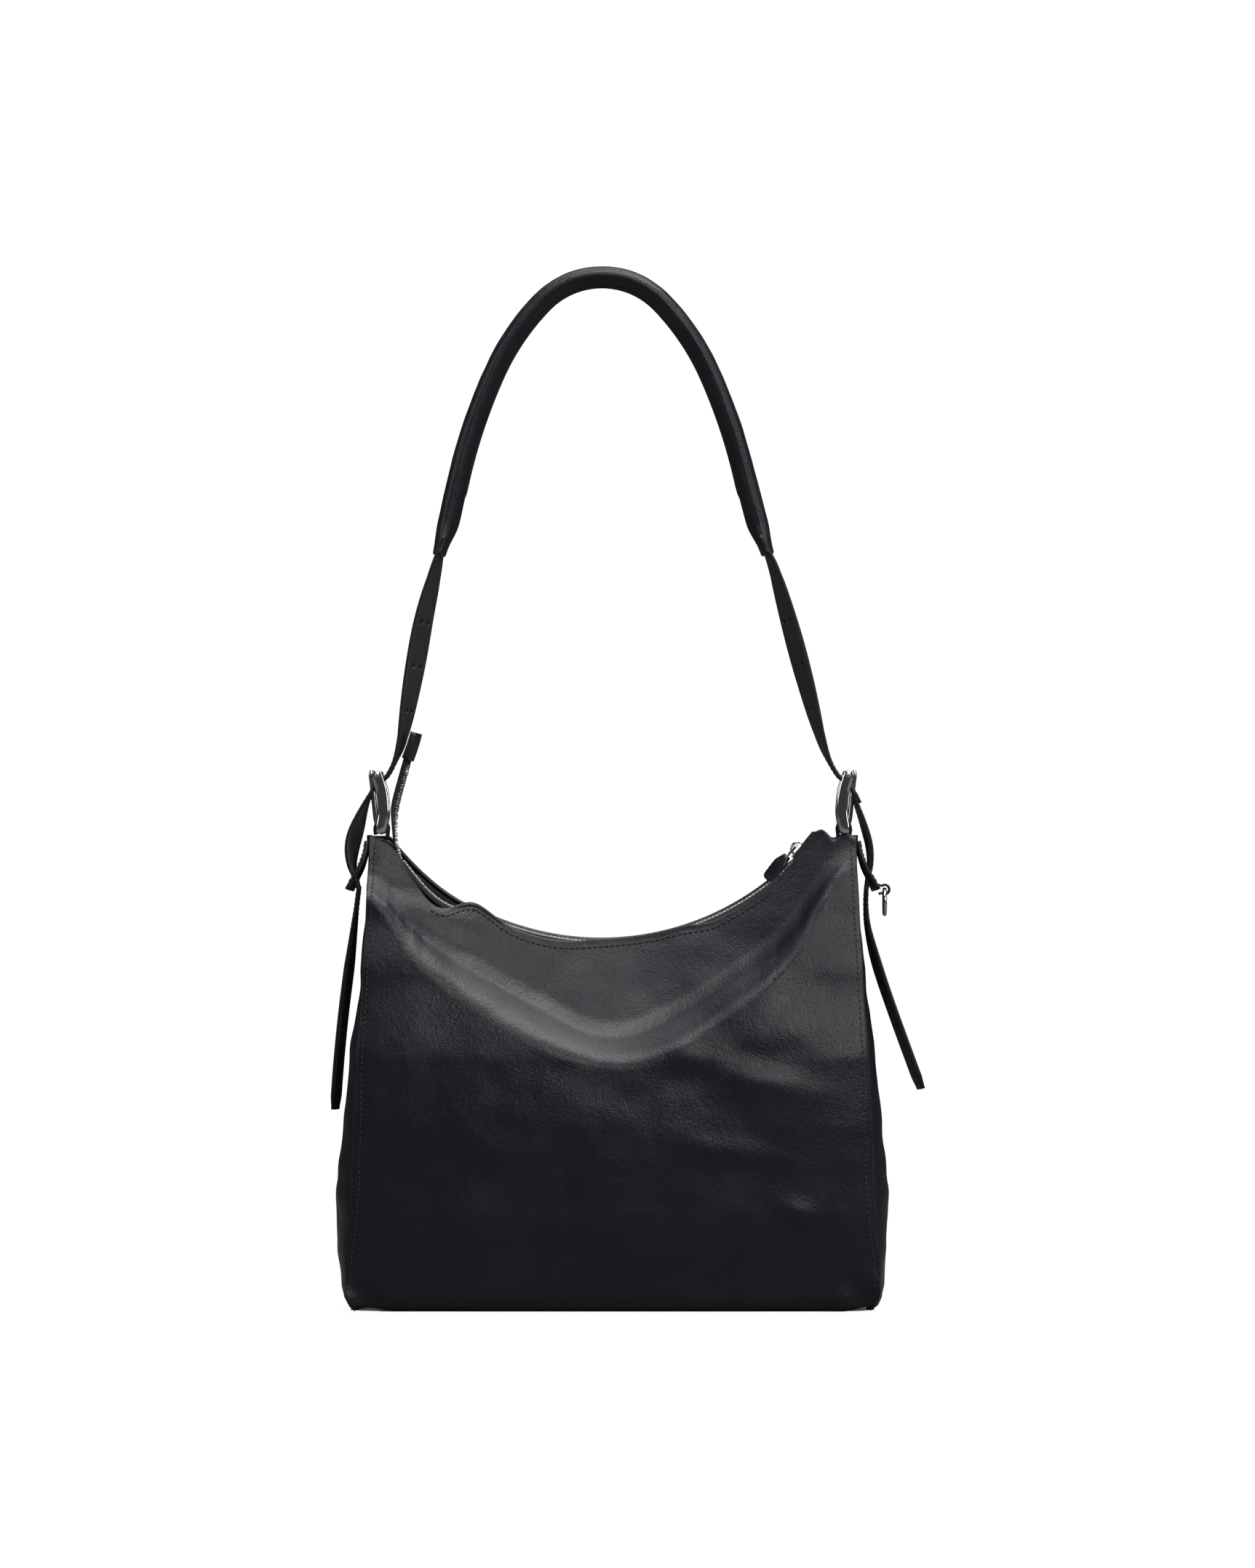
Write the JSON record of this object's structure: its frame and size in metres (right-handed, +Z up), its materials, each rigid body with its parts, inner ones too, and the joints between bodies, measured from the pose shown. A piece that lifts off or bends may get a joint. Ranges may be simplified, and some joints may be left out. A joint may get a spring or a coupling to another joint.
{
  "type": "hobo bag",
  "caption": "Soft leather shoulder bag with a curved zipped mouth, buckled adjustable strap, padded shoulder sleeve and side ring.",
  "frame": {"origin": "on the floor under the middle of the base", "axes": "+Z up, -Y the plain front, +X the wearer's right side with the ring"},
  "size_m": [0.3524, 0.112, 0.6233],
  "materials": {
    "body_leather": "semi-gloss fine grain",
    "strap_leather": "smooth satin",
    "lining_cloth": "matt twill",
    "board": "matt",
    "core": "foam cord",
    "zipper_tape": "woven",
    "zipper_metal": "polished nickel",
    "nickel": "polished nickel"
  },
  "bodies": {
    "bag": {"front_panel": "body_leather", "back_panel": "body_leather", "gusset_left": "body_leather", "gusset_right": "body_leather", "base_panel": "body_leather", "base_board": "board", "lining": "lining_cloth", "zipper_tape_front": "zipper_tape", "zipper_tape_back": "zipper_tape", "zipper_teeth_front": "zipper_metal", "zipper_teeth_back": "zipper_metal", "zipper_top_stops": "zipper_metal", "zipper_bottom_stop": "zipper_metal", "zipper_tail": "zipper_tape", "zipper_end_tab": "body_leather", "side_tab_left": "body_leather", "side_tab_right": "body_leather", "ring_loop": "body_leather", "strap_slack_left": "strap_leather", "strap_slack_right": "strap_leather"},
    "strap": {"shoulder_sleeve": "strap_leather", "sleeve_core": "core", "strap_end_left": "strap_leather", "strap_end_right": "strap_leather", "buckle_frame_left": "nickel", "buckle_frame_right": "nickel", "anchor_loop_left": "body_leather", "anchor_loop_right": "body_leather"},
    "prongs_left": {"double_prong_left": "nickel"},
    "prongs_right": {"double_prong_right": "nickel"},
    "slider": {"slider_body": "nickel"},
    "puller": {"puller": "nickel", "pull_tab": "body_leather"},
    "ring": {"side_ring": "nickel"},
    "tail_left": {"strap_tail_left": "strap_leather"},
    "tail_right": {"strap_tail_right": "strap_leather"}
  },
  "joints": [
    {"name": "strap_swing", "type": "hinge", "parent": "bag", "child": "strap", "pos_m": [0, 0, 0.281], "axis": [1, 0, 0], "range_deg": [-58, 58], "deforming": ["front_panel", "back_panel"]},
    {"name": "prong_left_lift", "type": "hinge", "parent": "strap", "child": "prongs_left", "pos_m": [-0.138, 0, 0.2866], "axis": [0, -1, 0], "range_deg": [0, 8]},
    {"name": "prong_right_lift", "type": "hinge", "parent": "strap", "child": "prongs_right", "pos_m": [0.138, 0, 0.2866], "axis": [0, 1, 0], "range_deg": [0, 8]},
    {"name": "zipper_travel", "type": "hinge", "parent": "bag", "child": "slider", "pos_m": [-0.007, 0, 0.381], "axis": [0, 1, 0], "range_deg": [0, 84], "deforming": ["zipper_teeth_front", "zipper_teeth_back"]},
    {"name": "pull_swing", "type": "hinge", "parent": "slider", "child": "puller", "pos_m": [0.10931, 0, 0.27554], "axis": [0, 1, 0], "range_deg": [0, 150]},
    {"name": "ring_swing", "type": "hinge", "parent": "bag", "child": "ring", "pos_m": [0.1624, 0, 0.25], "axis": [0, -1, 0], "range_deg": [-8, 75]},
    {"name": "tail_left_swing", "type": "hinge", "parent": "bag", "child": "tail_left", "pos_m": [-0.1515, 0, 0.25035], "axis": [0, 1, 0], "range_deg": [-3, 35]},
    {"name": "tail_right_swing", "type": "hinge", "parent": "bag", "child": "tail_right", "pos_m": [0.1515, 0, 0.25035], "axis": [0, -1, 0], "range_deg": [-6, 12]}
  ]
}
